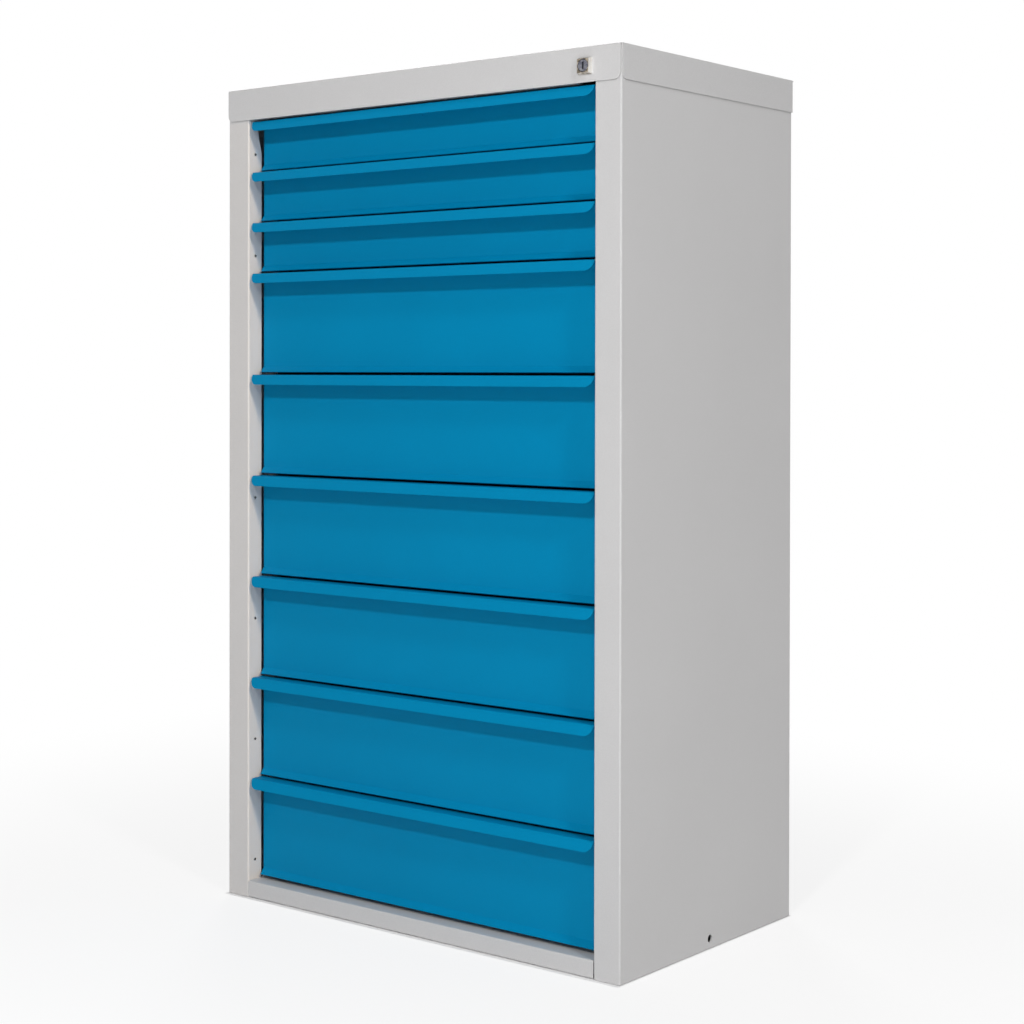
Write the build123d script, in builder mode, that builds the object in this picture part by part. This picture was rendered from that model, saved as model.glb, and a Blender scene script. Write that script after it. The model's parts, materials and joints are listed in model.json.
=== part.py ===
from build123d import *
import os
from math import cos, radians, sin, sqrt

# Workshop drawer cabinet of folded sheet steel, in millimetres.
# X runs across the front, the front looks along -Y and Z is up from the floor.
# Depths named "behind the stiles" are counted from the front plane of the carcass.

# Carcass
body_width = 600.0
body_depth = 350.0
overall_height = 1000.0
sheet = 1.0
bend = 2.0                  # outside radius of a fold
stile_width = 35.0
stile_return = 22.0
rear_flange = 20.0
rail_height = 20.0
rail_foot = 14.0            # lip turned back under the bottom rail
floor_clear = 2.0           # side flanges of the base end this far above the floor
back_clear = 2.0            # the back panel ends this far below the cover
header_depth = 20.0
header_drop = 0.5           # header above the lower edge of the cover
header_lock_gap = 26.5      # the header's web stops this far short of the right stile
joint_gap = 0.5             # butt joints between stiles and rails
cut = 1.0                   # cutting shapes reach this far past the metal

# Top cover, a cap that slips over the carcass
cap_sheet = 1.2
cap_play = 0.3
cap_flange = 38.5
cap_notch = 2.0             # flanges end this far from the corner
cap_corner = 7.5            # rounded lower corners of the flanges at the front
cap_relief = 1.3            # radius of the hole where two folds meet

# Drawers: one row is a shallow drawer, two rows a deep one
row_pitch = 62.5
drawer_rows = (1, 1, 1, 2, 2, 2, 2, 2, 2)
top_gap = 2.0
front_gap = 3.0
panel_setback = 23.5
front_half = 262.0
front_return = 8.0
lip_half = 262.0
lip_setback = 4.0
lip_reach = 5.0
lip_drop = 12.2
lip_corner = 10.5
flare = 7.0
flare_trim = 2.0
hang_hole = 1.5             # radius of the hole under the lip of the top drawer
hang_drop = 10.5

# Drawer boxes
box_half = 252.3
box_length = 298.0
box_lift = 7.5              # box floor above the lower edge of its front
box_drop = 6.0              # box rim below the top of its lip
rim_width = 6.0

# Telescopic slides of three nested channels, seen from the cabinet's side
slide_face = 265.0          # plane of the cabinet member, from the middle
slide_start = 48.0          # behind the stiles
slide_length = 294.0
slide_sheet = 1.0
slide_lift = 30.0           # slide centre above the lower edge of the front
outer_half, outer_near, outer_far = 17.5, 0.0, 9.5
middle_half, middle_near, middle_far = 13.5, 2.5, 11.0
inner_half, inner_near, inner_far = 9.0, 5.0, 12.7
race_curl = 3.0
middle_short = 6.0          # the middle member is this much shorter

# Uprights that carry the slides
upright_sheet = 1.2
upright_width = 25.0
upright_front = 50.0
upright_rear = 305.0
upright_top = 962.0

# Central lock
lock_x = 253.0
lock_z = 979.0
lock_head = 18.0
lock_proud = 4.5
lock_draft = 18.0           # degrees by which the four sides of the head lean in
barrel_radius = 9.0
barrel_play = 0.1
barrel_end = 20.0           # behind the stiles
plug_radius = 6.95
plug_bore = 7.0
plug_sunk = 0.4             # face of the plug behind the face of the head
plug_edge = 0.6
tail_gap = 0.3              # between the barrel and the crank
key_width = 1.8
key_height = 8.0
key_depth = 9.0
nut_flats = 22.0
nut_thick = 5.0
crank = sqrt(50.0)          # from the lock axis to the crank pin
crank_start = 45.0          # degrees above level when unlocked
crank_sheet = 2.0
pin_radius = 2.0

# Locking bar behind the right stile, with a slotted head and a hook for each drawer
bar_near = 266.6
bar_thick = 2.0
bar_front = 30.0
bar_width = 12.0
bar_foot = 60.0
hook_sheet = 1.5            # hooks, slotted head and catches
hook_front = 38.0
hook_tip = 256.0
hook_height = 8.0
hook_lift = 56.0            # lower edge of a raised hook above the front's edge
slot_play = 0.6
slot_margin = 2.5
slot_head_height = 15.0
catch_lift = 46.5
catch_height = 6.5
catch_front = 41.0
catch_length = 16.0
catch_tip = 261.0
guide_drawers = (1, 4, 7)   # drawers, counted from 0, beside which the guides sit
guide_height = 15.0
guide_sheet = 1.2
guide_play = 0.3

# Holes in the carcass
return_hole = 1.7
return_hole_depth = 11.6
return_hole_first = 44.5
return_hole_pitch = 150.0
return_hole_count = 6
return_hole_last = 920.0
side_hole = 4.5
side_hole_play = 0.5        # the base's own hole behind it is this much larger in radius
side_hole_z = 11.0
notch_low = 923.0
notch_high = 960.0
notch_depth = 9.5

# The bounding box, which the lock head leaves at the front, is centred on the origin.
half_width = body_width / 2
front_y = -(body_depth - lock_proud) / 2
rear_y = front_y + body_depth
body_top = overall_height - cap_sheet
opening_half = half_width - stile_width
cap_out = cap_sheet + cap_play
cap_low = overall_height - cap_flange
box_near = front_y + panel_setback + sheet
crank_y = front_y + barrel_end + tail_gap
pin_x = lock_x + crank * cos(radians(crank_start))
pin_z = lock_z + crank * sin(radians(crank_start))


def front_levels():
    """Upper and lower edge of each drawer front, from the top down."""
    levels = []
    top = cap_low - top_gap
    for rows in drawer_rows:
        next_top = top - rows * row_pitch
        levels.append((top, next_top + front_gap))
        top = next_top
    return levels


levels = front_levels()
os.makedirs("parts", exist_ok=True)


def save(part, name):
    part.label = name
    export_step(part, f"parts/{name}.step")


# Side panel: outer wall, stile, its return into the opening and a rear flange
def side_panel():
    outline = [
        (-half_width + rear_flange, rear_y),
        (-half_width, rear_y),
        (-half_width, front_y),
        (-opening_half, front_y),
        (-opening_half, front_y + stile_return),
    ]
    hole_levels = [return_hole_first + return_hole_pitch * step for step in range(return_hole_count)]
    hole_levels.append(return_hole_last)
    return_end = front_y + stile_return
    notch_end = return_end - notch_depth
    with BuildPart() as left_side_panel:
        with BuildSketch(Plane.XY):
            with BuildLine():
                FilletPolyline(*outline, radius=bend)
                offset(amount=sheet, side=Side.LEFT)
            make_face()
        extrude(amount=body_top)
        # holes in the return, and its upper end cut back on a slant
        with BuildSketch(Plane.YZ.offset(-opening_half - sheet - cut)):
            with Locations(*[(front_y + return_hole_depth, z) for z in hole_levels]):
                Circle(return_hole)
            with BuildLine():
                Polyline(
                    (return_end + cut, notch_low),
                    (return_end, notch_low),
                    (notch_end, notch_high),
                    (notch_end, body_top),
                    (return_end + cut, body_top),
                    close=True,
                )
            make_face()
        extrude(amount=sheet + 2 * cut, mode=Mode.SUBTRACT)
        # hole low in the outer wall, for joining cabinets side by side
        with BuildSketch(Plane.YZ.offset(-half_width - cut)):
            with Locations((front_y + body_depth / 2, side_hole_z)):
                Circle(side_hole)
        extrude(amount=sheet + 2 * cut, mode=Mode.SUBTRACT)
    return left_side_panel.part


# Back panel: lies against the rear flanges from inside
def back_panel():
    with BuildPart() as back:
        with BuildSketch(Plane.XZ.offset(-(rear_y - sheet))):
            with Locations((0, (body_top - back_clear) / 2)):
                Rectangle(body_width - 2 * (sheet + bend), body_top - back_clear)
        extrude(amount=sheet)
    return back.part


# Base: the bottom rail is folded in one with the floor, which widens behind the stiles
def base_panel():
    rail_half = opening_half - joint_gap
    floor_half = half_width - sheet - joint_gap
    floor_start = front_y + stile_return + joint_gap
    floor_end = rear_y - 2 * sheet - joint_gap
    floor_middle = (floor_start + floor_end) / 2
    rail_line = [
        (front_y + rail_foot, 0),
        (front_y, 0),
        (front_y, rail_height),
        (floor_start + sheet, rail_height),
    ]
    floor_line = [
        (-floor_half, floor_clear),
        (-floor_half, rail_height),
        (floor_half, rail_height),
        (floor_half, floor_clear),
    ]
    with BuildPart() as base:
        with BuildSketch(Plane.YZ):
            with BuildLine():
                FilletPolyline(*rail_line, radius=bend)
                offset(amount=sheet, side=Side.RIGHT)
            make_face()
        extrude(amount=rail_half, both=True)
        with BuildSketch(Plane.XZ.offset(-floor_middle)):
            with BuildLine():
                FilletPolyline(*floor_line, radius=bend)
                offset(amount=sheet, side=Side.RIGHT)
            make_face()
        extrude(amount=(floor_end - floor_start) / 2, both=True)
        # one hole in each side flange, behind the hole in the side panel
        with BuildSketch(Plane.YZ):
            with Locations((front_y + body_depth / 2, side_hole_z)):
                Circle(side_hole + side_hole_play)
        extrude(amount=half_width, both=True, mode=Mode.SUBTRACT)
    return base.part


# Top cover: four flanges folded down from one sheet, so its corners stay open
def top_cover():
    cap_half = half_width + cap_out
    cap_front = front_y - cap_out
    cap_rear = rear_y + cap_out
    middle_y = (cap_front + cap_rear) / 2
    width = 2 * cap_half
    depth = cap_rear - cap_front
    with BuildPart() as cap:
        with BuildSketch(Plane.XY.offset(cap_low)):
            with Locations((0, middle_y)):
                Rectangle(width, depth)
        extrude(amount=cap_flange)
        fillet(cap.faces().sort_by(Axis.Z)[-1].edges(), radius=bend)
        with BuildSketch(Plane.XY.offset(cap_low)):
            with Locations((0, middle_y)):
                Rectangle(width - 2 * cap_sheet, depth - 2 * cap_sheet)
        extrude(amount=cap_flange - cap_sheet, mode=Mode.SUBTRACT)
        # open corners, each with a slit as wide as the notch
        with BuildSketch(Plane.XY.offset(cap_low)):
            with Locations((0, middle_y)):
                with GridLocations(width - cap_notch, depth - cap_notch, 2, 2):
                    Rectangle(cap_notch, cap_notch)
        extrude(amount=cap_flange - bend, mode=Mode.SUBTRACT)
        # rounded lower ends of the front flange and of the side flanges at the front
        low_edges = cap.edges().filter_by_position(Axis.Z, cap_low - 0.01, cap_low + 0.01)
        front_ends = low_edges.filter_by(Axis.Y).filter_by(
            lambda edge: edge.center().Y < cap_front + cap_sheet and abs(edge.center().X) > cap_half - 2 * cap_notch
        )
        side_starts = low_edges.filter_by(Axis.X).filter_by(
            lambda edge: abs(edge.center().Y - cap_front - cap_notch) < 0.01 and edge.length < 2 * cap_sheet
        )
        fillet(front_ends + side_starts, radius=cap_corner)
        # relief holes where the folds meet, and the hole for the lock
        with BuildSketch(Plane.XY.offset(overall_height + cut)):
            relief_x = cap_half - cap_relief / 2
            relief_y = cap_front + cap_relief / 2
            with Locations((relief_x, relief_y), (-relief_x, relief_y)):
                Circle(cap_relief)
        extrude(amount=-(bend + cut + cap_relief), mode=Mode.SUBTRACT)
        with BuildSketch(Plane.XZ.offset(-(cap_front - cut))):
            with Locations((lock_x, lock_z)):
                Circle(barrel_radius)
        extrude(amount=-(cap_sheet + 2 * cut), mode=Mode.SUBTRACT)
    return cap.part


# Header: a channel between the stiles, behind the front flange of the cover
def front_header():
    low = cap_low + header_drop
    high = body_top - joint_gap
    outline = [
        (front_y + header_depth, low),
        (front_y, low),
        (front_y, high),
        (front_y + header_depth, high),
    ]
    with BuildPart() as header:
        with BuildSketch(Plane.YZ):
            with BuildLine():
                FilletPolyline(*outline, radius=bend)
                offset(amount=sheet, side=Side.RIGHT)
            make_face()
        extrude(amount=opening_half - joint_gap, both=True)
        # room for the lock at the right end, where only the upper leg runs on
        web_end = opening_half - joint_gap - header_lock_gap
        with BuildSketch(Plane.XZ.offset(-(front_y - cut))):
            with Locations((web_end, low - cut)):
                Rectangle(header_lock_gap + cut, high - low - bend + cut, align=(Align.MIN, Align.MIN))
        extrude(amount=-(header_depth + 2 * cut), mode=Mode.SUBTRACT)
    return header.part


# Upright: a channel whose web carries the slides and whose legs reach the side wall
def upright(side, start):
    leg = half_width - sheet - joint_gap
    near = front_y + start
    outline = [
        (side * leg, near),
        (side * slide_face, near),
        (side * slide_face, near + upright_width),
        (side * leg, near + upright_width),
    ]
    inside = Side.LEFT if side < 0 else Side.RIGHT
    with BuildPart() as post:
        with BuildSketch(Plane.XY.offset(rail_height)):
            with BuildLine():
                Polyline(*outline)
                offset(amount=upright_sheet, side=inside)
            make_face()
        extrude(amount=upright_top - rail_height)
    return post.part


# One channel of a slide; near and far are its reach from the cabinet's side
def slide_channel(side, centre_z, half, near, far, curl, start, length):
    sign = -side
    base = side * slide_face
    if curl:
        outline = [
            (base + sign * far, centre_z + half - curl),
            (base + sign * far, centre_z + half),
            (base + sign * near, centre_z + half),
            (base + sign * near, centre_z - half),
            (base + sign * far, centre_z - half),
            (base + sign * far, centre_z - half + curl),
        ]
    else:
        outline = [
            (base + sign * near, centre_z + half),
            (base + sign * far, centre_z + half),
            (base + sign * far, centre_z - half),
            (base + sign * near, centre_z - half),
        ]
    turns_left = (side > 0) == bool(curl)
    inside = Side.RIGHT if turns_left else Side.LEFT
    with BuildPart() as channel:
        with BuildSketch(Plane.XZ.offset(-(front_y + start))):
            with BuildLine():
                Polyline(*outline)
                offset(amount=slide_sheet, side=inside)
            make_face()
        extrude(amount=-length)
    return channel.part


def cabinet_slides(side):
    with BuildPart() as slides:
        for top, low in levels:
            add(slide_channel(side, low + slide_lift, outer_half, outer_near, outer_far,
                              race_curl, slide_start, slide_length))
    return slides.part


def middle_slides(low):
    with BuildPart() as slides:
        for side in (-1, 1):
            add(slide_channel(side, low + slide_lift, middle_half, middle_near, middle_far,
                              race_curl, slide_start + middle_short / 2, slide_length - middle_short))
    return slides.part


def drawer_slides(low):
    with BuildPart() as slides:
        for side in (-1, 1):
            add(slide_channel(side, low + slide_lift, inner_half, inner_near, inner_far,
                              0, slide_start, slide_length))
    return slides.part


# Drawer front: flare, panel, ledge and lip are one folded sheet
def drawer_front(top, low, has_hang_hole):
    panel_y = front_y + panel_setback
    rear = panel_y + sheet
    ledge_y = front_y + lip_setback
    profile = [
        (rear - flare, low),
        (rear, low + flare),
        (rear, top),
        (ledge_y, top),
        (ledge_y - lip_reach, top - lip_drop),
    ]
    with BuildPart() as front:
        with BuildSketch(Plane.YZ):
            with BuildLine():
                FilletPolyline(*profile, radius=bend)
                offset(amount=sheet, side=Side.LEFT)
            make_face()
        extrude(amount=front_half, both=True)
        # ends of the ledge and of the lip, which is narrower and has round corners
        with BuildSketch(Plane.XZ.offset(-(panel_y - cut))):
            with Locations((0, (top + low) / 2 + flare)):
                Rectangle(2 * (front_half + cut), top - low)
            with Locations((0, top - (lip_drop - 5 * cut) / 2)):
                lip_shape = Rectangle(2 * lip_half, lip_drop + 5 * cut, mode=Mode.SUBTRACT)
            fillet(lip_shape.vertices().group_by(Axis.Y)[0], radius=lip_corner)
        extrude(amount=panel_setback, mode=Mode.SUBTRACT)
        # trimmed ends of the flare
        with BuildSketch(Plane.XZ.offset(-rear)):
            for end in (-1, 1):
                with BuildLine():
                    Polyline(
                        (end * (front_half + cut), low + flare),
                        (end * front_half, low + flare),
                        (end * (front_half - flare_trim), low - cut),
                        (end * (front_half + cut), low - cut),
                        close=True,
                    )
                make_face()
        extrude(amount=2 * flare, mode=Mode.SUBTRACT)
        # short returns folded back at both ends of the panel
        return_low = low + flare + bend
        return_height = top - bend - return_low
        return_x = front_half - sheet / 2
        return_place = (rear + front_return / 2, return_low + return_height / 2)
        with Locations((return_x, *return_place), (-return_x, *return_place)):
            Box(sheet, front_return, return_height)
        if has_hang_hole:
            with BuildSketch(Plane.XZ.offset(-(panel_y - cut))):
                with Locations((0, top - hang_drop)):
                    Circle(hang_hole)
            extrude(amount=-(sheet + 2 * cut), mode=Mode.SUBTRACT)
    return front.part


# Side of a drawer box: a channel with its rim and its foot turned inward
def box_side(side, top, low):
    floor_z = low + box_lift
    rim_z = top - box_drop
    outline = [
        (side * (box_half - rim_width), rim_z),
        (side * box_half, rim_z),
        (side * box_half, floor_z),
        (side * (box_half - rim_width), floor_z),
    ]
    with BuildPart() as wall:
        with BuildSketch(Plane.XZ.offset(-box_near)):
            with BuildLine():
                Polyline(*outline)
                offset(amount=sheet, side=Side.RIGHT if side > 0 else Side.LEFT)
            make_face()
        extrude(amount=-box_length)
    return wall.part.solid()


# End of a drawer box: its rim fits between the rims of the sides
def box_end(face_y, inward, top, low):
    plate_low = low + box_lift + sheet
    plate_high = top - box_drop - sheet
    with BuildPart() as wall:
        with Locations((0, face_y + inward * sheet / 2, (plate_low + plate_high) / 2)):
            Box(2 * (box_half - sheet), sheet, plate_high - plate_low)
        with Locations((0, face_y + inward * rim_width / 2, plate_high + sheet / 2)):
            Box(2 * (box_half - rim_width), rim_width, sheet)
    return wall.part.solid()


# Floor of a drawer box: a sheet that lies on the feet of the sides
def box_floor(low):
    with BuildPart() as floor:
        with Locations((0, box_near + box_length / 2, low + box_lift + 1.5 * sheet)):
            Box(2 * (box_half - sheet), box_length - 2 * sheet, sheet)
    return floor.part.solid()


# Catch for the locking bar: an angle on the right side of the drawer box
def box_catch(low):
    near = front_y + catch_front
    with BuildPart() as catch:
        with BuildSketch(Plane.XY.offset(low + catch_lift)):
            with BuildLine():
                Polyline(
                    (box_half, near),
                    (catch_tip, near),
                    (catch_tip, near + hook_sheet),
                    (box_half + hook_sheet, near + hook_sheet),
                    (box_half + hook_sheet, near + catch_length),
                    (box_half, near + catch_length),
                    close=True,
                )
            make_face()
        extrude(amount=catch_height)
    return catch.part.solid()


# Drawer box: sides, ends, floor and catch stay separate solids that touch
def drawer_box(top, low):
    return Compound([
        box_side(-1, top, low),
        box_side(1, top, low),
        box_end(box_near, 1, top, low),
        box_end(box_near + box_length, -1, top, low),
        box_floor(low),
        box_catch(low),
    ])


# Lock housing: a square head that tapers to its face and a round barrel with a through bore
def lock_housing():
    head_back = front_y - cap_out
    with BuildPart() as housing:
        with BuildSketch(Plane.XZ.offset(-head_back)):
            with Locations((lock_x, lock_z)):
                Rectangle(lock_head, lock_head)
        extrude(amount=lock_proud, taper=lock_draft)
        with BuildSketch(Plane.XZ.offset(-head_back)):
            with Locations((lock_x, lock_z)):
                Circle(barrel_radius - barrel_play)
        extrude(amount=-(barrel_end + cap_out))
        with BuildSketch(Plane.XZ.offset(-(head_back - lock_proud - cut))):
            with Locations((lock_x, lock_z)):
                Circle(plug_bore)
        extrude(amount=-(barrel_end + cap_out + lock_proud + 2 * cut), mode=Mode.SUBTRACT)
    return housing.part


# Nut: clamps the housing to the front flange of the cover
def lock_nut():
    with BuildPart() as nut:
        with BuildSketch(Plane.XZ.offset(-(front_y - cap_play))):
            with Locations((lock_x, lock_z)):
                RegularPolygon(nut_flats / 2, 6, major_radius=False, rotation=30)
                Circle(barrel_radius - barrel_play, mode=Mode.SUBTRACT)
        extrude(amount=-nut_thick)
    return nut.part


# Plug: turns in the housing, with a keyway across its face
def lock_cylinder():
    face_y = front_y - cap_out - lock_proud + plug_sunk
    with BuildPart() as plug:
        with BuildSketch(Plane.XZ.offset(-face_y)):
            with Locations((lock_x, lock_z)):
                Circle(plug_radius)
        extrude(amount=-(crank_y - face_y))
        chamfer(plug.faces().sort_by(Axis.Y)[0].edges(), length=plug_edge)
        with BuildSketch(Plane.XZ.offset(-(face_y - cut))):
            with Locations((lock_x, lock_z)):
                Rectangle(key_width, key_height)
        extrude(amount=-(key_depth + cut), mode=Mode.SUBTRACT)
    return plug.part


# Crank: an arm on the plug's tail with a pin that works the locking bar
def lock_crank():
    pin_end = front_y + bar_front + 2 * hook_sheet
    with BuildPart() as arm:
        with BuildSketch(Plane.XZ.offset(-crank_y)):
            with Locations((lock_x, lock_z)):
                Circle(plug_radius)
            with Locations((pin_x, pin_z)):
                Circle(2 * pin_radius)
            make_hull()
        extrude(amount=-crank_sheet)
        with BuildSketch(Plane.XZ.offset(-crank_y)):
            with Locations((pin_x, pin_z)):
                Circle(pin_radius)
        extrude(amount=-(pin_end - crank_y))
    return arm.part


# Locking bar: a flat strip that reaches from the lowest drawer to the slotted head
def locking_bar():
    with BuildPart() as bar:
        with BuildSketch(Plane.XY.offset(bar_foot)):
            with Locations((bar_near + bar_thick / 2, front_y + bar_front + bar_width / 2)):
                Rectangle(bar_thick, bar_width)
        extrude(amount=pin_z + slot_head_height / 2 - bar_foot)
    return bar.part


# Slotted head: an angle on the strip, whose slot takes the crank pin
def bar_head():
    slot_left = pin_x - pin_radius - slot_play
    slot_right = lock_x + crank + pin_radius + slot_play
    head_left = slot_left - slot_margin
    near_y = front_y + bar_front
    with BuildPart() as head:
        with BuildSketch(Plane.XZ.offset(-near_y)):
            with Locations(((head_left + bar_near) / 2, pin_z)):
                Rectangle(bar_near - head_left, slot_head_height)
            with Locations(((slot_left + slot_right) / 2, pin_z)):
                Rectangle(slot_right - slot_left, 2 * (pin_radius + slot_play), mode=Mode.SUBTRACT)
        extrude(amount=-hook_sheet)
        with BuildSketch(Plane.XY.offset(pin_z - slot_head_height / 2)):
            with Locations((bar_near - hook_sheet / 2, near_y + bar_width / 2)):
                Rectangle(hook_sheet, bar_width)
        extrude(amount=slot_head_height)
    return head.part


# Hooks: one angle for each drawer, on the inner face of the strip
def bar_hooks():
    leg_x = bar_near - hook_sheet
    start_y = front_y + bar_front
    arm_y = front_y + hook_front
    with BuildPart() as hooks:
        for top, low in levels:
            with BuildSketch(Plane.XY.offset(low + hook_lift)):
                with BuildLine():
                    Polyline(
                        (bar_near, start_y),
                        (bar_near, arm_y + hook_sheet),
                        (hook_tip, arm_y + hook_sheet),
                        (hook_tip, arm_y),
                        (leg_x, arm_y),
                        (leg_x, start_y),
                        close=True,
                    )
                make_face()
            extrude(amount=hook_height)
    return hooks.part


# Guides: folded clips on the front upright that wrap the locking bar
def bar_guides():
    near_x = bar_near - guide_play
    far_x = bar_near + bar_thick + guide_play
    near_y = front_y + bar_front - guide_play
    foot_y = front_y + upright_front
    outline = [
        (far_x + guide_sheet, foot_y),
        (far_x + guide_sheet, near_y - guide_sheet),
        (near_x - guide_sheet, near_y - guide_sheet),
        (near_x - guide_sheet, foot_y),
    ]
    with BuildPart() as guides:
        for drawer in guide_drawers:
            low = levels[drawer][1]
            with BuildSketch(Plane.XY.offset(low + slide_lift - guide_height / 2)):
                with BuildLine():
                    Polyline(*outline)
                    offset(amount=guide_sheet, side=Side.RIGHT)
                make_face()
            extrude(amount=guide_height)
    return guides.part


left_panel = side_panel()
save(left_panel, "left_side_panel")
with BuildPart() as right_side_panel:
    mirror(left_panel, about=Plane.YZ)
save(right_side_panel.part, "right_side_panel")
save(back_panel(), "back_panel")
save(base_panel(), "base_panel")
save(top_cover(), "top_cover")
save(front_header(), "front_header")
for side, side_name in ((-1, "left"), (1, "right")):
    save(upright(side, upright_front), f"front_upright_{side_name}")
    save(upright(side, upright_rear), f"rear_upright_{side_name}")
    save(cabinet_slides(side), f"cabinet_slides_{side_name}")
save(lock_housing(), "lock_housing")
save(lock_nut(), "lock_nut")
save(lock_cylinder(), "lock_cylinder")
save(lock_crank(), "lock_crank")
save(locking_bar(), "locking_bar")
save(bar_head(), "bar_head")
save(bar_hooks(), "bar_hooks")
save(bar_guides(), "bar_guides")
for number, (top, low) in enumerate(levels, start=1):
    save(drawer_front(top, low, number == 1), f"drawer_front_{number}")
    save(drawer_box(top, low), f"drawer_box_{number}")
    save(drawer_slides(low), f"drawer_slides_{number}")
    save(middle_slides(low), f"middle_slides_{number}")
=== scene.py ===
import bmesh
import bpy
import json
import math
from mathutils import Matrix, Vector


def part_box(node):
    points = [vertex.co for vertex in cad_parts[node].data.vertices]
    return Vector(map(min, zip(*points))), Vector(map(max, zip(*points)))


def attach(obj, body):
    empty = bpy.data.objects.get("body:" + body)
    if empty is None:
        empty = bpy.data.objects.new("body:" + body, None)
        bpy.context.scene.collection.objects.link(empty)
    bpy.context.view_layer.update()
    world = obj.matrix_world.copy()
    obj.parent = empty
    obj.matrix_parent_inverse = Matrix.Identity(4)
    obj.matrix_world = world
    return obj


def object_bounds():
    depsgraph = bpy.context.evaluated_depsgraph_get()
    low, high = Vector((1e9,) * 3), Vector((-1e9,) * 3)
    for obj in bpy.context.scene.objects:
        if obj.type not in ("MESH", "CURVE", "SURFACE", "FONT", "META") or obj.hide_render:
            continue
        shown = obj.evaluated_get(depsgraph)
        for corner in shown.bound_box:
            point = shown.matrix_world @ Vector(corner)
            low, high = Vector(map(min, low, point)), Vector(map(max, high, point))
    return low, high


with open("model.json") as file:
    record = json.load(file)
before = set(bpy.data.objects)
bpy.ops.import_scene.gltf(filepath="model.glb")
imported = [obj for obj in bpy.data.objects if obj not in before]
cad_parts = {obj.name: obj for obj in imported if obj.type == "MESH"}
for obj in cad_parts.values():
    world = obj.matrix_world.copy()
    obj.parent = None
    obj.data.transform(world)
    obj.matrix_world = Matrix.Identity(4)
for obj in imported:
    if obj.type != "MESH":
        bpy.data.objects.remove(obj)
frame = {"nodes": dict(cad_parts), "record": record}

millimetre = 0.001
noiseSpan = (0.3, 0.7)           # nearly all values of a noise texture lie between these
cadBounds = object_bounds()


# Colours are written as sRGB hex and turned to linear here
def hexColour(code):
    channels = []
    for start in (1, 3, 5):
        value = int(code[start:start + 2], 16) / 255
        channels.append(value / 12.92 if value <= 0.04045 else ((value + 0.055) / 1.055) ** 2.4)
    return (*channels, 1.0)


# Adds one node, sets its properties, and fills or links its inputs
def addNode(tree, kind, inputs=None, **properties):
    node = tree.nodes.new(kind)
    for name, value in properties.items():
        setattr(node, name, value)
    for socket, value in (inputs or {}).items():
        if isinstance(value, bpy.types.NodeSocket):
            tree.links.new(value, node.inputs[socket])
        else:
            node.inputs[socket].default_value = value
    return node


def newMaterial(name):
    material = bpy.data.materials.new(name)
    material.use_nodes = True
    material.node_tree.nodes.clear()
    return material, material.node_tree


def finishMaterial(tree, shader):
    addNode(tree, "ShaderNodeOutputMaterial", {"Surface": shader.outputs[0]})


# Polyester powder coat on steel sheet, baked: satin, with a soft orange peel and no metal showing
coatSurface = {
    "ior": 1.5,                  # of polyester resin
    "peelWidth": 3.5,            # mm, real peel is about 1.5 mm and wouldn't show at this distance
    "peelDepth": 0.035,          # mm
    "peelDetail": 1.5,
    "peelRoughness": 0.45,
    "peelStrength": 0.8,
    "grainWidth": 1.0,           # mm, real powder grain is 0.05 mm
    "grainDepth": 0.010,         # mm
    "grainDetail": 1.0,
    "grainStrength": 0.6,
    "grainTone": (0.97, 1.03),   # how dark and how light the grain turns the colour
    "cloudDetail": 3.0,
}
greyCoat = {
    **coatSurface,
    "colour": "#C8C7C7",
    "shade": "#C3C2C2",          # where the coat is thicker it looks slightly deeper
    "specular": 0.35,
    "roughness": (0.42, 0.52),
    "cloudWidth": 170.0,         # mm, slow change of film thickness over a panel
}
blueCoat = {
    **coatSurface,
    "colour": "#0084B2",
    "shade": "#007EAB",
    "specular": 0.05,            # the photographed blue has almost no white gloss over it
    "roughness": (0.40, 0.50),
    "cloudWidth": 140.0,
}

# Painted shade in the small holes in the stile returns: their walls are coloured nearly black, as
# shadow falls in them
holeWallShade = {
    "colour": "#161616",
    "across": 265.5,             # mm from the middle of the cabinet to the return
    "sheet": 1.2,                # mm on either side of that
    "depth": 11.6,               # mm from the front of the panel to the middle of the holes
    "reach": 2.0,                # mm on either side of that
    "flat": 0.5,                 # the walls' normals lie in the sheet and have less X than this
}


# Paints shade on the walls of the holes, found by their place and by the way they face
def paintHoleWallShade(tree, colour, walls):
    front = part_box("left_side_panel")[0].y
    place = addNode(tree, "ShaderNodeTexCoord")
    spot = addNode(tree, "ShaderNodeSeparateXYZ", {"Vector": place.outputs["Object"]})
    facing = addNode(tree, "ShaderNodeSeparateXYZ", {"Vector": place.outputs["Normal"]})
    across = addNode(tree, "ShaderNodeMath", {0: spot.outputs["X"]}, operation="ABSOLUTE")
    across = addNode(tree, "ShaderNodeMath", {
        0: across.outputs[0], 1: walls["across"] * millimetre, 2: walls["sheet"] * millimetre},
        operation="COMPARE")
    depth = addNode(tree, "ShaderNodeMath", {
        0: spot.outputs["Y"], 1: front + walls["depth"] * millimetre,
        2: walls["reach"] * millimetre}, operation="COMPARE")
    flat = addNode(tree, "ShaderNodeMath", {
        0: facing.outputs["X"], 1: 0.0, 2: walls["flat"]}, operation="COMPARE")
    share = addNode(tree, "ShaderNodeMath", {
        0: across.outputs[0], 1: depth.outputs[0]}, operation="MULTIPLY")
    share = addNode(tree, "ShaderNodeMath", {
        0: share.outputs[0], 1: flat.outputs[0]}, operation="MULTIPLY")
    mixed = addNode(tree, "ShaderNodeMix", {
        "Factor": share.outputs[0], "A": colour, "B": hexColour(walls["colour"])},
        data_type="RGBA")
    return mixed.outputs["Result"]


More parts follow.
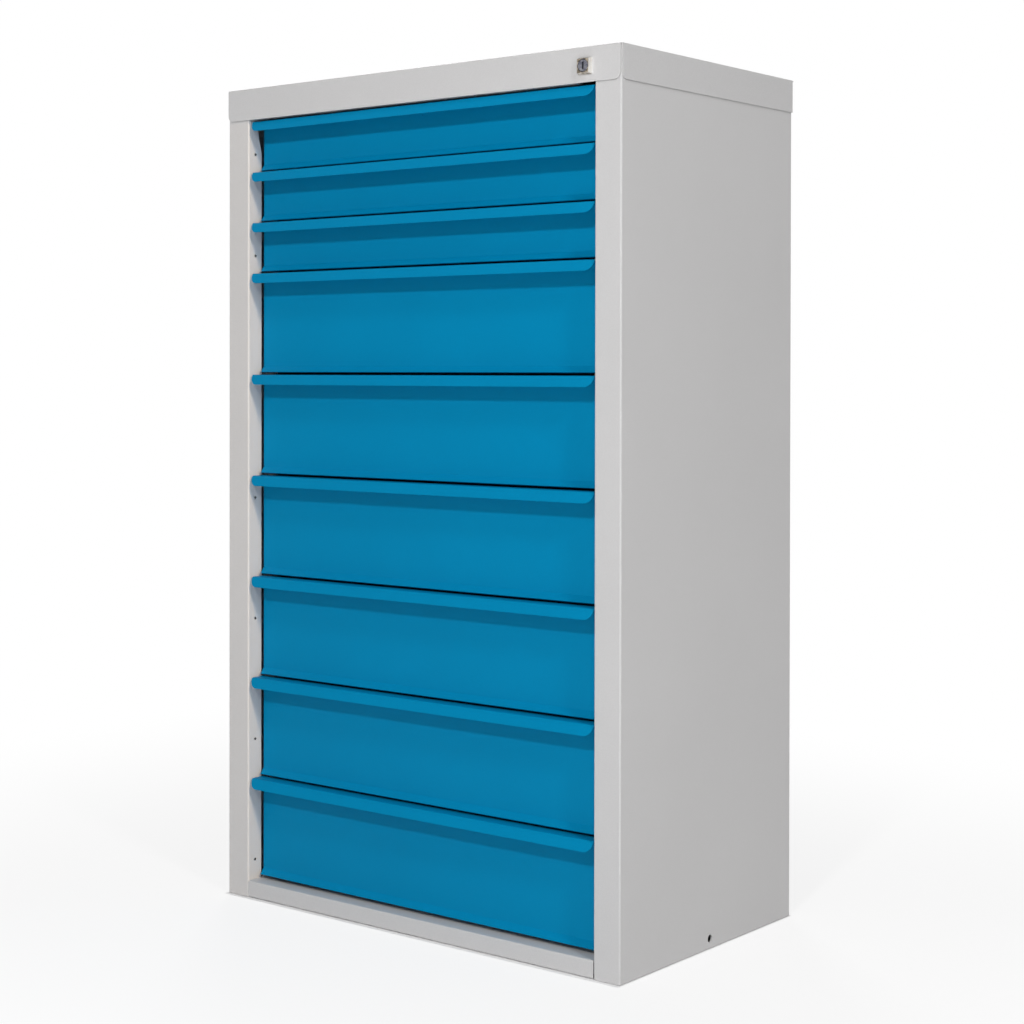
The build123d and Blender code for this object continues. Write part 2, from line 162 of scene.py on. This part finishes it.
def powderCoat(name, coat, walls=None):
    material, tree = newMaterial(name)
    place = addNode(tree, "ShaderNodeTexCoord").outputs["Object"]
    peel = addNode(tree, "ShaderNodeTexNoise", {
        "Vector": place, "Scale": 1 / (coat["peelWidth"] * millimetre),
        "Detail": coat["peelDetail"], "Roughness": coat["peelRoughness"]})
    grain = addNode(tree, "ShaderNodeTexNoise", {
        "Vector": place, "Scale": 1 / (coat["grainWidth"] * millimetre),
        "Detail": coat["grainDetail"]})
    cloud = addNode(tree, "ShaderNodeTexNoise", {
        "Vector": place, "Scale": 1 / (coat["cloudWidth"] * millimetre),
        "Detail": coat["cloudDetail"]})
    tone = addNode(tree, "ShaderNodeMix", {
        "Factor": cloud.outputs["Fac"], "A": hexColour(coat["shade"]),
        "B": hexColour(coat["colour"])}, data_type="RGBA")
    speck = addNode(tree, "ShaderNodeMapRange", {
        "Value": grain.outputs["Fac"], "From Min": noiseSpan[0], "From Max": noiseSpan[1],
        "To Min": coat["grainTone"][0], "To Max": coat["grainTone"][1]})
    colour = addNode(tree, "ShaderNodeVectorMath", {
        0: tone.outputs["Result"], "Scale": speck.outputs["Result"]}, operation="SCALE")
    colour = colour.outputs["Vector"]
    # Painted shade inside the return holes
    if walls:
        colour = paintHoleWallShade(tree, colour, walls)
    rough = addNode(tree, "ShaderNodeMapRange", {
        "Value": peel.outputs["Fac"], "From Min": noiseSpan[0], "From Max": noiseSpan[1],
        "To Min": coat["roughness"][0], "To Max": coat["roughness"][1]})
    grainBump = addNode(tree, "ShaderNodeBump", {
        "Height": grain.outputs["Fac"], "Strength": coat["grainStrength"],
        "Distance": coat["grainDepth"] * millimetre})
    peelBump = addNode(tree, "ShaderNodeBump", {
        "Height": peel.outputs["Fac"], "Strength": coat["peelStrength"],
        "Distance": coat["peelDepth"] * millimetre, "Normal": grainBump.outputs["Normal"]})
    shader = addNode(tree, "ShaderNodeBsdfPrincipled", {
        "Base Color": colour, "Roughness": rough.outputs["Result"],
        "Specular IOR Level": coat["specular"], "IOR": coat["ior"],
        "Normal": peelBump.outputs["Normal"]})
    finishMaterial(tree, shader)
    return material


# Cold rolled steel with bright zinc plating: a cool metal with fine rolling lines along the strip
zincPlate = {
    "colour": "#C4C8CB",
    "shade": "#A9AEB2",
    "roughness": (0.26, 0.42),
    "lineWidth": 0.8,            # mm across the strip, drawn coarser than the real 0.1 mm
    "lineLength": 60.0,          # mm along the strip
    "lineDepth": 0.006,          # mm
    "lineDetail": 2.0,
    "lineStrength": 0.7,
    "spotWidth": 9.0,            # mm, patches of the passivated film
}


# Rolling lines run along the local axis given, so slides and upright posts each get their own
def zincPlated(name, plate, along):
    material, tree = newMaterial(name)
    place = addNode(tree, "ShaderNodeTexCoord").outputs["Object"]
    stretch = [1 / (plate["lineWidth"] * millimetre)] * 3
    stretch["XYZ".index(along)] = 1 / (plate["lineLength"] * millimetre)
    lined = addNode(tree, "ShaderNodeMapping", {"Vector": place, "Scale": stretch})
    lines = addNode(tree, "ShaderNodeTexNoise", {
        "Vector": lined.outputs["Vector"], "Scale": 1.0, "Detail": plate["lineDetail"]})
    spots = addNode(tree, "ShaderNodeTexVoronoi", {
        "Vector": place, "Scale": 1 / (plate["spotWidth"] * millimetre)}, feature="SMOOTH_F1")
    blotch = addNode(tree, "ShaderNodeMix", {
        "Factor": spots.outputs["Distance"], "A": hexColour(plate["colour"]),
        "B": hexColour(plate["shade"])}, data_type="RGBA")
    rough = addNode(tree, "ShaderNodeMapRange", {
        "Value": lines.outputs["Fac"], "From Min": noiseSpan[0], "From Max": noiseSpan[1],
        "To Min": plate["roughness"][0], "To Max": plate["roughness"][1]})
    bump = addNode(tree, "ShaderNodeBump", {
        "Height": lines.outputs["Fac"], "Strength": plate["lineStrength"],
        "Distance": plate["lineDepth"] * millimetre})
    shader = addNode(tree, "ShaderNodeBsdfPrincipled", {
        "Base Color": blotch.outputs["Result"], "Metallic": 1.0,
        "Roughness": rough.outputs["Result"], "Normal": bump.outputs["Normal"]})
    finishMaterial(tree, shader)
    return material


# Die-cast zinc with polished chrome plating on the lock's head, satin nickel on its brass plug.
# Their colour is painted reflection: each facet gets the tone of the studio that it would mirror,
# pale on the right, dark above and left.
castSurface = {"waveDetail": 2.0, "waveStrength": 0.6}
chromePlate = {
    **castSurface,
    "paintedLightTones": ((0.0, "#26221E"), (0.34, "#5A5149"), (0.52, "#7C7265"), (0.62, "#B3A999"),
              (0.80, "#F4EEE6"), (1.0, "#FFFDF8")),
    "pale": (0.93, -0.08, -0.36),    # a facet that faces this way gets the last tone
    "swing": 0.34,               # how far the ripple of the casting shifts the mirrored tone
    "roughness": (0.10, 0.20),
    "waveWidth": 5.0,            # mm
    "waveDepth": 0.012,          # mm
}
nickelPlate = {
    **castSurface,
    "paintedLightTones": ((0.0, "#1C1B19"), (0.45, "#4A494E"), (0.62, "#5F606C"), (0.80, "#7E7F88"),
              (1.0, "#B4B2AC")),
    "pale": (0.62, -0.50, -0.60),
    "swing": 0.30,
    "roughness": (0.22, 0.34),
    "waveWidth": 3.5,
    "waveDepth": 0.010,
}
# Hardened steel of the slide balls, lapped bright; its colour is painted light, lighter where the
# balls face up and darker below
ballSteel = {
    **castSurface,
    "paintedLightTones": ((0.0, "#8C9095"), (1.0, "#D3D6D9")),
    "pale": (0.0, 0.0, 1.0),
    "swing": 0.12,
    "roughness": (0.06, 0.12),
    "waveWidth": 0.8,
    "waveDepth": 0.002,
}


# Bright metals whose colour is painted reflection or painted light, picked by the way each facet
# faces and shifted by the ripple of the surface
def brightMetal(name, plate):
    material, tree = newMaterial(name)
    place = addNode(tree, "ShaderNodeTexCoord")
    wave = addNode(tree, "ShaderNodeTexNoise", {
        "Vector": place.outputs["Object"], "Scale": 1 / (plate["waveWidth"] * millimetre),
        "Detail": plate["waveDetail"]})
    facing = addNode(tree, "ShaderNodeVectorMath", {
        0: place.outputs["Normal"], 1: plate["pale"]}, operation="DOT_PRODUCT")
    ripple = addNode(tree, "ShaderNodeMapRange", {
        "Value": wave.outputs["Fac"], "From Min": noiseSpan[0], "From Max": noiseSpan[1],
        "To Min": -plate["swing"], "To Max": plate["swing"]})
    facing = addNode(tree, "ShaderNodeMath", {
        0: facing.outputs["Value"], 1: ripple.outputs["Result"]}, operation="ADD")
    facing = addNode(tree, "ShaderNodeMapRange", {
        "Value": facing.outputs[0], "From Min": -1.0, "From Max": 1.0})
    tone = addNode(tree, "ShaderNodeValToRGB", {"Fac": facing.outputs["Result"]})
    ramp = tone.color_ramp
    while len(ramp.elements) < len(plate["paintedLightTones"]):
        ramp.elements.new(0.5)
    for element, (position, code) in zip(ramp.elements, plate["paintedLightTones"]):
        element.position = position
        element.color = hexColour(code)
    rough = addNode(tree, "ShaderNodeMapRange", {
        "Value": wave.outputs["Fac"], "From Min": noiseSpan[0], "From Max": noiseSpan[1],
        "To Min": plate["roughness"][0], "To Max": plate["roughness"][1]})
    bump = addNode(tree, "ShaderNodeBump", {
        "Height": wave.outputs["Fac"], "Strength": plate["waveStrength"],
        "Distance": plate["waveDepth"] * millimetre})
    shader = addNode(tree, "ShaderNodeBsdfPrincipled", {
        "Base Color": tone.outputs["Color"], "Metallic": 1.0,
        "Roughness": rough.outputs["Result"], "Normal": bump.outputs["Normal"]})
    finishMaterial(tree, shader)
    return material


greyPowderCoat = powderCoat("polyesterPowderCoatGrey", greyCoat, holeWallShade)
bluePowderCoat = powderCoat("polyesterPowderCoatBlue", blueCoat)
zincAlongY = zincPlated("zincPlatedSteelAlongY", zincPlate, "Y")
zincAlongZ = zincPlated("zincPlatedSteelAlongZ", zincPlate, "Z")
chromeFinish = brightMetal("chromePlatedDieCasting", chromePlate)
nickelFinish = brightMetal("nickelPlatedBrass", nickelPlate)
ballFinish = brightMetal("hardenedSteel", ballSteel)

slotMaterials = {
    "grey_paint": greyPowderCoat,
    "blue_paint": bluePowderCoat,
    "zinc_plated_steel": zincAlongY,
    "chrome": chromeFinish,
    "nickel": nickelFinish,
}
# The strip that these are cut from runs upwards
standingNodes = ("upright", "locking_bar", "bar_head", "bar_hooks", "bar_guides")

recordSlots = {row["node"]: row["material_slot"] for row in frame["record"]["subparts"]}
for nodeName, nodeObject in frame["nodes"].items():
    finish = slotMaterials[recordSlots[nodeName]]
    if finish is zincAlongY and any(word in nodeName for word in standingNodes):
        finish = zincAlongZ
    nodeObject.data.materials.clear()
    nodeObject.data.materials.append(finish)
print("materials on the frame's nodes")


# Small pieces are built in metres where they stand, and each rides on the body that carries it
def meshPiece(name, build, finish, body):
    shape = bmesh.new()
    build(shape)
    mesh = bpy.data.meshes.new(name)
    shape.to_mesh(mesh)
    shape.free()
    mesh.materials.append(finish)
    piece = bpy.data.objects.new(name, mesh)
    bpy.context.scene.collection.objects.link(piece)
    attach(piece, body)


# Revolves a profile of (radius, height) points in mm about an axis that starts at a point
def addTurned(shape, profile, centre, direction, steps=20):
    turn = Vector(direction).to_track_quat("Z", "Y").to_matrix()
    rings = []
    for radius, height in profile:
        if radius == 0:
            tip = turn @ Vector((0, 0, height * millimetre)) + Vector(centre)
            rings.append([shape.verts.new(tip)])
            continue
        ring = []
        for step in range(steps):
            angle = 2 * math.pi * step / steps
            spot = Vector((radius * math.cos(angle), radius * math.sin(angle), height))
            ring.append(shape.verts.new(turn @ (spot * millimetre) + Vector(centre)))
        rings.append(ring)
    for low, high in zip(rings, rings[1:]):
        for step in range(steps):
            after = (step + 1) % steps
            if len(high) == 1:
                face = shape.faces.new((low[step], low[after], high[0]))
            else:
                face = shape.faces.new((low[step], low[after], high[after], high[step]))
            face.smooth = True


# Extrudes an outline of (x, z) points in mm along Y, from one depth in metres to another
def addStrip(shape, outline, near, far):
    ends = []
    for depth in (near, far):
        ends.append([shape.verts.new((x * millimetre, depth, z * millimetre)) for x, z in outline])
    count = len(outline)
    for index in range(count):
        after = (index + 1) % count
        shape.faces.new((ends[0][index], ends[0][after], ends[1][after], ends[1][index]))
    shape.faces.new(reversed(ends[0]))
    shape.faces.new(ends[1])


def addBall(shape, centre, radius, subdivisions=2):
    made = bmesh.ops.create_icosphere(
        shape, subdivisions=subdivisions, radius=radius * millimetre,
        matrix=Matrix.Translation(centre))
    for vertex in made["verts"]:
        for face in vertex.link_faces:
            face.smooth = True


# Head of a blind rivet: a flat dome with the hole that its mandrel leaves
rivetShape = {
    "root": -0.2,                # mm, starts in the sheet below
    # From the rim over the dome into the hole, as (share of the radius, share of the height)
    "dome": ((1.0, 0.25), (0.86, 0.72), (0.60, 1.0), (0.34, 0.97), (0.30, 0.45), (0.0, 0.45)),
}


def rivetHead(radius, height):
    dome = [(across * radius, rise * height) for across, rise in rivetShape["dome"]]
    return [(radius, rivetShape["root"]), *dome]


drawerCount = sum(1 for nodeName in frame["nodes"] if nodeName.startswith("drawer_front_"))

# Rivets that hold the back panel to the rear flanges, coated with the carcass
backRivets = {
    "radius": 3.2,               # mm
    "height": 1.1,               # mm
    "inset": 10.0,               # mm from the side
    "first": 45.0,               # mm above the floor
    "last": 935.0,               # mm above the floor
    "count": 9,
}


def buildBackRivets(shape):
    head = rivetHead(backRivets["radius"], backRivets["height"])
    low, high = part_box("left_side_panel")
    across = -low.x - backRivets["inset"] * millimetre
    step = (backRivets["last"] - backRivets["first"]) / (backRivets["count"] - 1)
    for side in (-1, 1):
        for index in range(backRivets["count"]):
            level = (backRivets["first"] + step * index) * millimetre
            addTurned(shape, head, (side * across, high.y, level), (0, 1, 0))


meshPiece("backRivets", buildBackRivets, greyPowderCoat, "cabinet")

# Rivets in the webs of the cabinet slides at the uprights, low enough for the middle member to pass
slideRivets = {
    "radius": 3.0,               # mm
    "height": 0.8,               # mm
    "web": 264.0,                # mm from the middle of the cabinet to the web
    "spread": 8.5,               # mm above and below the middle of the slide
    "steps": 14,
}


def buildSlideRivets(shape):
    head = rivetHead(slideRivets["radius"], slideRivets["height"])
    spread = slideRivets["spread"] * millimetre
    for number in range(1, drawerCount + 1):
        low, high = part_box(f"middle_slides_{number}")
        middle = (low.z + high.z) / 2
        for post in ("front_upright_left", "rear_upright_left"):
            near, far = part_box(post)
            for side in (-1, 1):
                for rise in (-spread, spread):
                    spot = (side * slideRivets["web"] * millimetre, (near.y + far.y) / 2,
                            middle + rise)
                    addTurned(shape, head, spot, (-side, 0, 0), slideRivets["steps"])


meshPiece("slideRivets", buildSlideRivets, zincAlongY, "cabinet")

# Balls in their cages, all in mm. Across is from the middle of the cabinet, rise from the middle of
# the slide, near and far from the front of the middle member. Both sets stay inside their races
# over the whole travel.
slideBalls = {
    "cageSheet": 0.5,
    "pitch": 12.0,
    # Between cabinet member and middle member
    "outer": {"radius": 1.4, "across": 259.2, "rise": 15.0, "web": (263.0, 263.5), "edge": 257.2,
              "near": 150.0, "far": 284.0},
    # Between middle member and drawer member
    "inner": {"radius": 1.6, "across": 258.2, "rise": 10.75, "web": (260.5, 261.0), "edge": 256.0,
              "near": 3.0, "far": 141.0},
}


def buildCages(shape, number):
    low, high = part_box(f"middle_slides_{number}")
    middle = (low.z + high.z) / 2 / millimetre
    half = slideBalls["cageSheet"] / 2
    for values in (slideBalls["outer"], slideBalls["inner"]):
        inside, outside = values["web"]
        rise, edge = values["rise"], values["edge"]
        near, far = (low.y + values[end] * millimetre for end in ("near", "far"))
        for side in (-1, 1):
            outline = [(outside, rise + half), (edge, rise + half), (edge, rise - half),
                       (inside, rise - half)]
            outline += [(x, -z) for x, z in reversed(outline)]
            outline = [(side * x, middle + z) for x, z in outline]
            if side > 0:
                outline.reverse()
            addStrip(shape, outline, near, far)


def buildBalls(shape, number):
    low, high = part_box(f"middle_slides_{number}")
    middle = (low.z + high.z) / 2
    pitch = slideBalls["pitch"]
    for values in (slideBalls["outer"], slideBalls["inner"]):
        count = int((values["far"] - values["near"]) / pitch)
        first = (values["far"] + values["near"] - (count - 1) * pitch) / 2
        for side in (-1, 1):
            for level in (-1, 1):
                for index in range(count):
                    spot = (side * values["across"] * millimetre,
                            low.y + (first + index * pitch) * millimetre,
                            middle + level * values["rise"] * millimetre)
                    addBall(shape, spot, values["radius"])


# Rivets that join each drawer box to its slide members, seen inside the drawer
boxRivets = {
    "radius": 3.2,               # mm
    "height": 1.1,               # mm
    "sheet": 1.0,                # mm, from the outside of the box to its inside
    "places": (0.12, 0.5, 0.88),    # shares of the box's depth
}


def buildBoxRivets(shape, number):
    head = rivetHead(boxRivets["radius"], boxRivets["height"])
    low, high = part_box(f"drawer_box_{number}")
    slideLow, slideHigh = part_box(f"drawer_slides_{number}")
    wall = -low.x - boxRivets["sheet"] * millimetre
    for side in (-1, 1):
        for share in boxRivets["places"]:
            spot = (side * wall, low.y + share * (high.y - low.y), (slideLow.z + slideHigh.z) / 2)
            addTurned(shape, head, spot, (-side, 0, 0))


for number in range(1, drawerCount + 1):
    meshPiece(f"ballCages{number}", lambda shape: buildCages(shape, number), zincAlongY,
              f"slide_middle_{number}")
    meshPiece(f"slideBalls{number}", lambda shape: buildBalls(shape, number), ballFinish,
              f"slide_middle_{number}")
    meshPiece(f"boxRivets{number}", lambda shape: buildBoxRivets(shape, number), bluePowderCoat,
              f"drawer_{number}")

# One rivet holds each hook to the locking bar
hookRivet = {
    "radius": 2.2,               # mm
    "height": 0.8,               # mm
    "sheet": 1.5,                # mm, thickness of the hook that lies on the bar
    "behind": 4.0,               # mm from the front of the hook
    "below": 4.0,                # mm from its top
    "steps": 14,
}


def buildHookRivets(shape):
    head = rivetHead(hookRivet["radius"], hookRivet["height"])
    hooksLow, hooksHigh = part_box("bar_hooks")
    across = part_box("locking_bar")[0].x - hookRivet["sheet"] * millimetre
    for number in range(1, drawerCount + 1):
        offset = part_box("drawer_front_1")[0].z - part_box(f"drawer_front_{number}")[0].z
        spot = (across, hooksLow.y + hookRivet["behind"] * millimetre,
                hooksHigh.z - hookRivet["below"] * millimetre - offset)
        addTurned(shape, head, spot, (-1, 0, 0), hookRivet["steps"])


meshPiece("hookRivets", buildHookRivets, zincAlongZ, "locking_bar")
print("pieces built")


# 1 for rays from the camera, off gloss or through glass, and 0 for the rays that gather light
def seenShare(tree):
    path = addNode(tree, "ShaderNodeLightPath")
    seen = addNode(tree, "ShaderNodeMath", {
        0: path.outputs["Is Camera Ray"], 1: path.outputs["Is Glossy Ray"]}, operation="MAXIMUM")
    seen = addNode(tree, "ShaderNodeMath", {
        0: seen.outputs[0], 1: path.outputs["Is Transmission Ray"]}, operation="MAXIMUM")
    return seen.outputs[0]


# Stage: a pale floor, soft light and the camera at the photograph's angle
floorLook = {
    "radius": 9.0,               # m
    "segments": 96,
    "drop": 0.5,                 # mm below the feet
    "colour": "#F4F4F4",         # what the light falls on
    "white": "#FFFFFF",          # what is seen instead, for the share below
    "whiteShare": 0.80,          # beside the cabinet, so that its shadow still shows
    "clearTo": 1.1,              # m from the cabinet, where only white is left
}


def buildFloor():
    shape = bmesh.new()
    bmesh.ops.create_circle(
        shape, cap_ends=True, segments=floorLook["segments"], radius=floorLook["radius"])
    mesh = bpy.data.meshes.new("studioFloor")
    shape.to_mesh(mesh)
    shape.free()
    floor = bpy.data.objects.new("studioFloor", mesh)
    floor.location.z = -floorLook["drop"] * millimetre
    bpy.context.scene.collection.objects.link(floor)

    material, tree = newMaterial("mattWhiteFloor")
    place = addNode(tree, "ShaderNodeTexCoord").outputs["Object"]
    # Distance from the cabinet's footprint, below zero under it, where no white shows
    low, high = cadBounds
    half = ((high[0] - low[0]) / 2, (high[1] - low[1]) / 2, 0.0)
    outward = addNode(tree, "ShaderNodeVectorMath", {0: place}, operation="ABSOLUTE")
    outward = addNode(tree, "ShaderNodeVectorMath", {
        0: outward.outputs[0], 1: half}, operation="SUBTRACT")
    parts = addNode(tree, "ShaderNodeSeparateXYZ", {"Vector": outward.outputs[0]})
    distance = addNode(tree, "ShaderNodeMath", {
        0: parts.outputs["X"], 1: parts.outputs["Y"]}, operation="MAXIMUM")
    outside = addNode(tree, "ShaderNodeMath", {
        0: distance.outputs[0], 1: 0.0}, operation="GREATER_THAN")
    fade = addNode(tree, "ShaderNodeMapRange", {
        "Value": distance.outputs[0], "From Min": 0.0, "From Max": floorLook["clearTo"],
        "To Min": floorLook["whiteShare"], "To Max": 1.0}, interpolation_type="SMOOTHSTEP")
    fade = addNode(tree, "ShaderNodeMath", {
        0: fade.outputs["Result"], 1: outside.outputs[0]}, operation="MULTIPLY")
    share = addNode(tree, "ShaderNodeMath", {
        0: seenShare(tree), 1: fade.outputs[0]}, operation="MULTIPLY")
    paint = addNode(tree, "ShaderNodeBsdfDiffuse", {"Color": hexColour(floorLook["colour"])})
    white = addNode(tree, "ShaderNodeEmission", {
        "Color": hexColour(floorLook["white"]), "Strength": 1.0})
    mixed = addNode(tree, "ShaderNodeMixShader", {
        0: share.outputs[0], 1: paint.outputs[0], 2: white.outputs[0]})
    finishMaterial(tree, mixed)
    mesh.materials.append(material)


buildFloor()

# White shows behind the object and in its reflections, and a weaker white lights it
worldLook = {"colour": "#FFFFFF", "light": 0.18, "seen": 1.0}
world = bpy.data.worlds.new("paleStudio")
bpy.context.scene.world = world
world.use_nodes = True
worldTree = world.node_tree
worldTree.nodes.clear()
worldStrength = addNode(worldTree, "ShaderNodeMapRange", {
    "Value": seenShare(worldTree), "To Min": worldLook["light"], "To Max": worldLook["seen"]})
worldShader = addNode(worldTree, "ShaderNodeBackground", {
    "Color": hexColour(worldLook["colour"]), "Strength": worldStrength.outputs["Result"]})
addNode(worldTree, "ShaderNodeOutputWorld", {"Surface": worldShader.outputs[0]})

# Lamps: distance and size in m, degrees to the right of the front and upwards, and power in watts
lampAim = Vector((0.0, -0.17, 0.5))
lamps = {
    "keyLamp": {"distance": 3.4, "right": 23.0, "up": 34.0, "size": 0.24, "watts": 47.5},
    "sideLamp": {"distance": 5.0, "right": 70.0, "up": 34.0, "size": 0.50, "watts": 68.0},
    "fillLamp": {"distance": 1.9, "right": 38.0, "up": -10.0, "size": 0.8, "watts": 10.5},
    # For the views from behind, which the photograph doesn't show
    "backLamp": {"distance": 6.0, "right": 222.0, "up": 32.0, "size": 1.5, "watts": 90.0},
    # Warm, and for the left panel's return alone, where the drawers throw blue light
    "snootLamp": {"distance": 5.0, "right": 79.0, "up": 26.0, "size": 0.25, "watts": 90.0,
                  "colour": "#FFD8A4", "lights": "left_side_panel"},
}


def addLamp(name, values):
    light = bpy.data.lights.new(name, "AREA")
    light.shape = "SQUARE"
    light.size = values["size"]
    light.energy = values["watts"]
    lamp = bpy.data.objects.new(name, light)
    bearing, rise = math.radians(values["right"]), math.radians(values["up"])
    way = Vector((math.sin(bearing) * math.cos(rise), -math.cos(bearing) * math.cos(rise),
                  math.sin(rise)))
    lamp.location = lampAim + way * values["distance"]
    lamp.rotation_euler = (-way).to_track_quat("-Z", "Y").to_euler()
    bpy.context.scene.collection.objects.link(lamp)
    if "colour" in values:
        light.color = hexColour(values["colour"])[:3]
    if "lights" in values:
        targets = bpy.data.collections.new(name + "Targets")
        targets.objects.link(frame["nodes"][values["lights"]])
        lamp.light_linking.receiver_collection = targets


for lampName, lampValues in lamps.items():
    addLamp(lampName, lampValues)

# Camera solved from the edges of the object
cameraFit = {
    "place": (1.514, -1.876, 0.651),    # m
    "yaw": 38.643,               # degrees, as pitch and roll
    "pitch": -0.421,
    "roll": 0.091,
    "focal": 1973.3,             # pixels of the photograph
    "centreLine": 386.4,         # pixels from its top
    "frame": 1024.0,             # pixels across it
    "sensor": 36.0,              # mm
}
cameraData = bpy.data.cameras.new("photoCamera")
cameraData.sensor_width = cameraFit["sensor"]
cameraData.lens = cameraFit["focal"] * cameraFit["sensor"] / cameraFit["frame"]
cameraData.shift_y = (cameraFit["centreLine"] - cameraFit["frame"] / 2) / cameraFit["frame"]
camera = bpy.data.objects.new("photoCamera", cameraData)
camera.matrix_world = (
    Matrix.Translation(cameraFit["place"])
    @ Matrix.Rotation(math.radians(cameraFit["yaw"]), 4, "Z")
    @ Matrix.Rotation(math.radians(90 + cameraFit["pitch"]), 4, "X")
    @ Matrix.Rotation(math.radians(cameraFit["roll"]), 4, "Z")
)
bpy.context.scene.collection.objects.link(camera)
bpy.context.scene.camera = camera
bpy.context.scene.view_settings.view_transform = "Standard"
print("stage, lamps and camera set")
